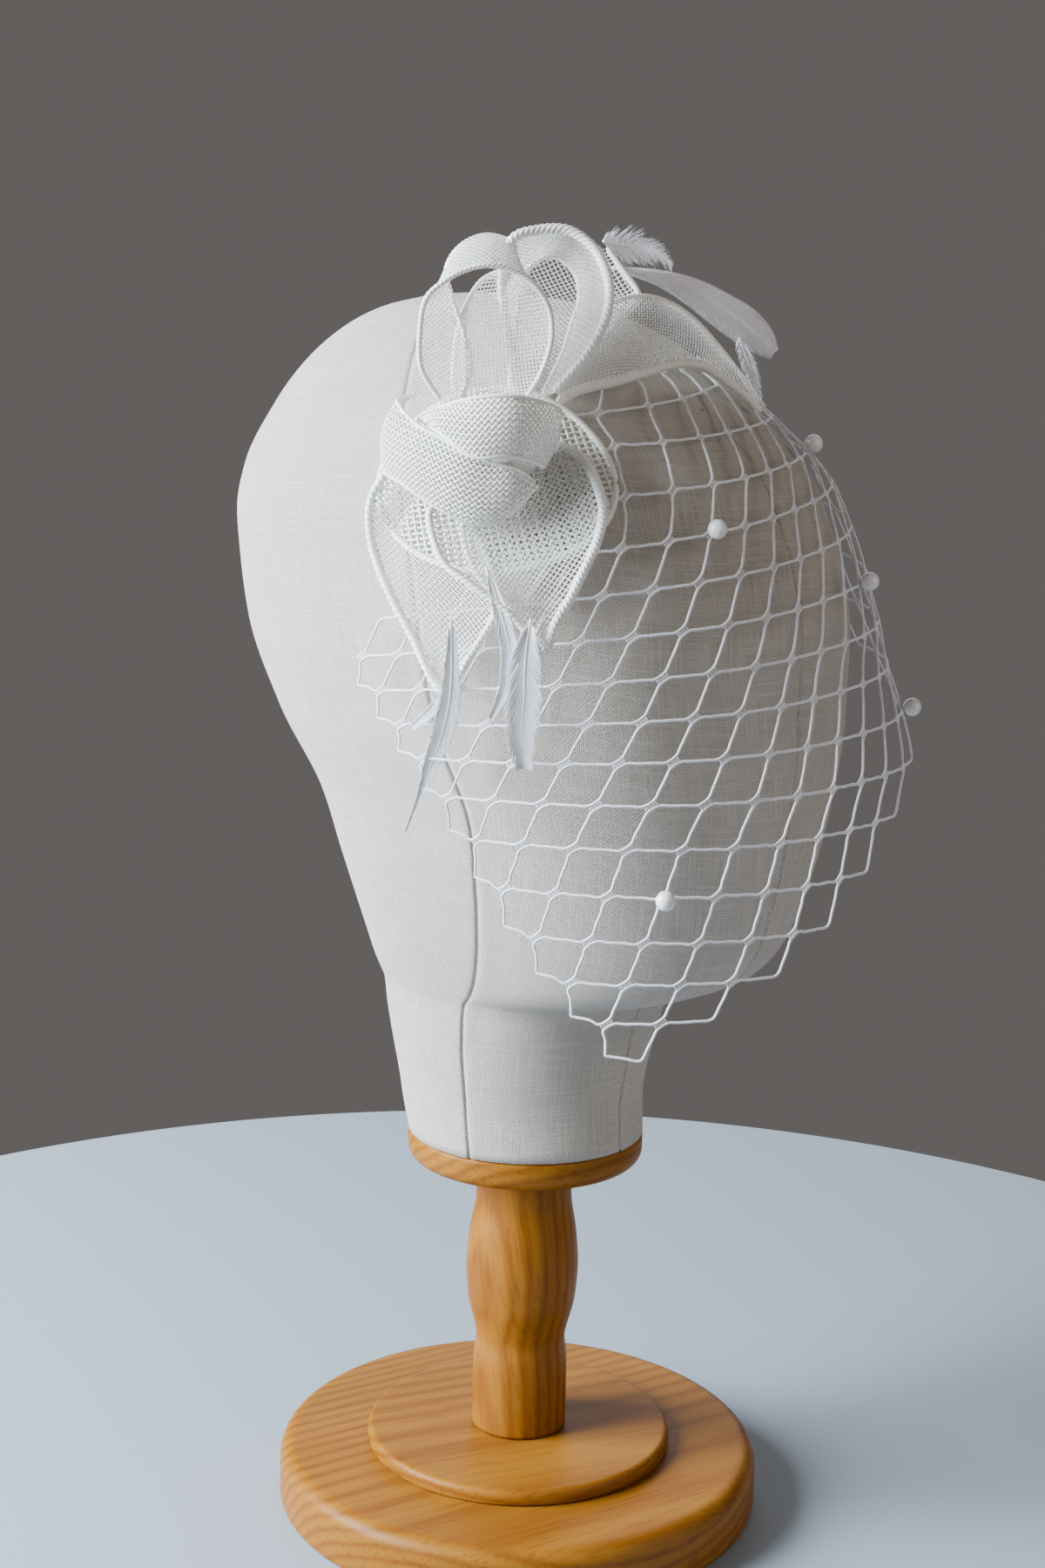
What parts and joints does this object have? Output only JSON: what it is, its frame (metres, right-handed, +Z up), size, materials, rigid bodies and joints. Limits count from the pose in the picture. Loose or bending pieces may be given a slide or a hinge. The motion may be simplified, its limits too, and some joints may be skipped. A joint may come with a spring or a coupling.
{
  "type": "birdcage veil on a display head form",
  "caption": "Diamond-net birdcage veil with a sinamay bow, feathers and pearls, worn by a blank linen head form on a turned wooden stand.",
  "frame": {"origin": "centre of the wooden base's underside, on the surface it stands on", "axes": "+Z up, the head form faces -Y and its right side, with the bow, is -X"},
  "size_m": [0.1729, 0.2018, 0.3881],
  "materials": {
    "wood": "honey-coloured varnished hardwood",
    "linen": "plain-woven natural linen, matte",
    "net": "white nylon diamond net",
    "sinamay": "white stiffened open-weave sinamay",
    "feather": "soft white feather",
    "pearl": "pearlised bead"
  },
  "bodies": {
    "root": {"stand_base": "wood", "stand_step": "wood", "stand_post": "wood", "neck_collar": "wood", "head_form": "linen", "veil_net": "net", "pearl_1": "pearl", "pearl_2": "pearl", "pearl_3": "pearl", "pearl_4": "pearl", "pearl_5": "pearl", "bow_knot_upper": "sinamay", "bow_knot_lower": "sinamay", "bow_crown_loop": "sinamay", "bow_side_loop": "sinamay", "bow_brow_leaf": "sinamay", "bow_back_leaf": "sinamay", "bow_left_leaf": "sinamay", "bow_right_leaf": "sinamay", "bow_inner_leaf": "sinamay", "bow_core": "sinamay", "bow_base": "sinamay", "feather_brow": "feather", "feather_tuft": "feather", "feather_wisp": "feather", "feather_long": "feather", "feather_curl": "feather", "feather_drop": "feather", "feather_broad": "feather"}
  },
  "joints": []
}
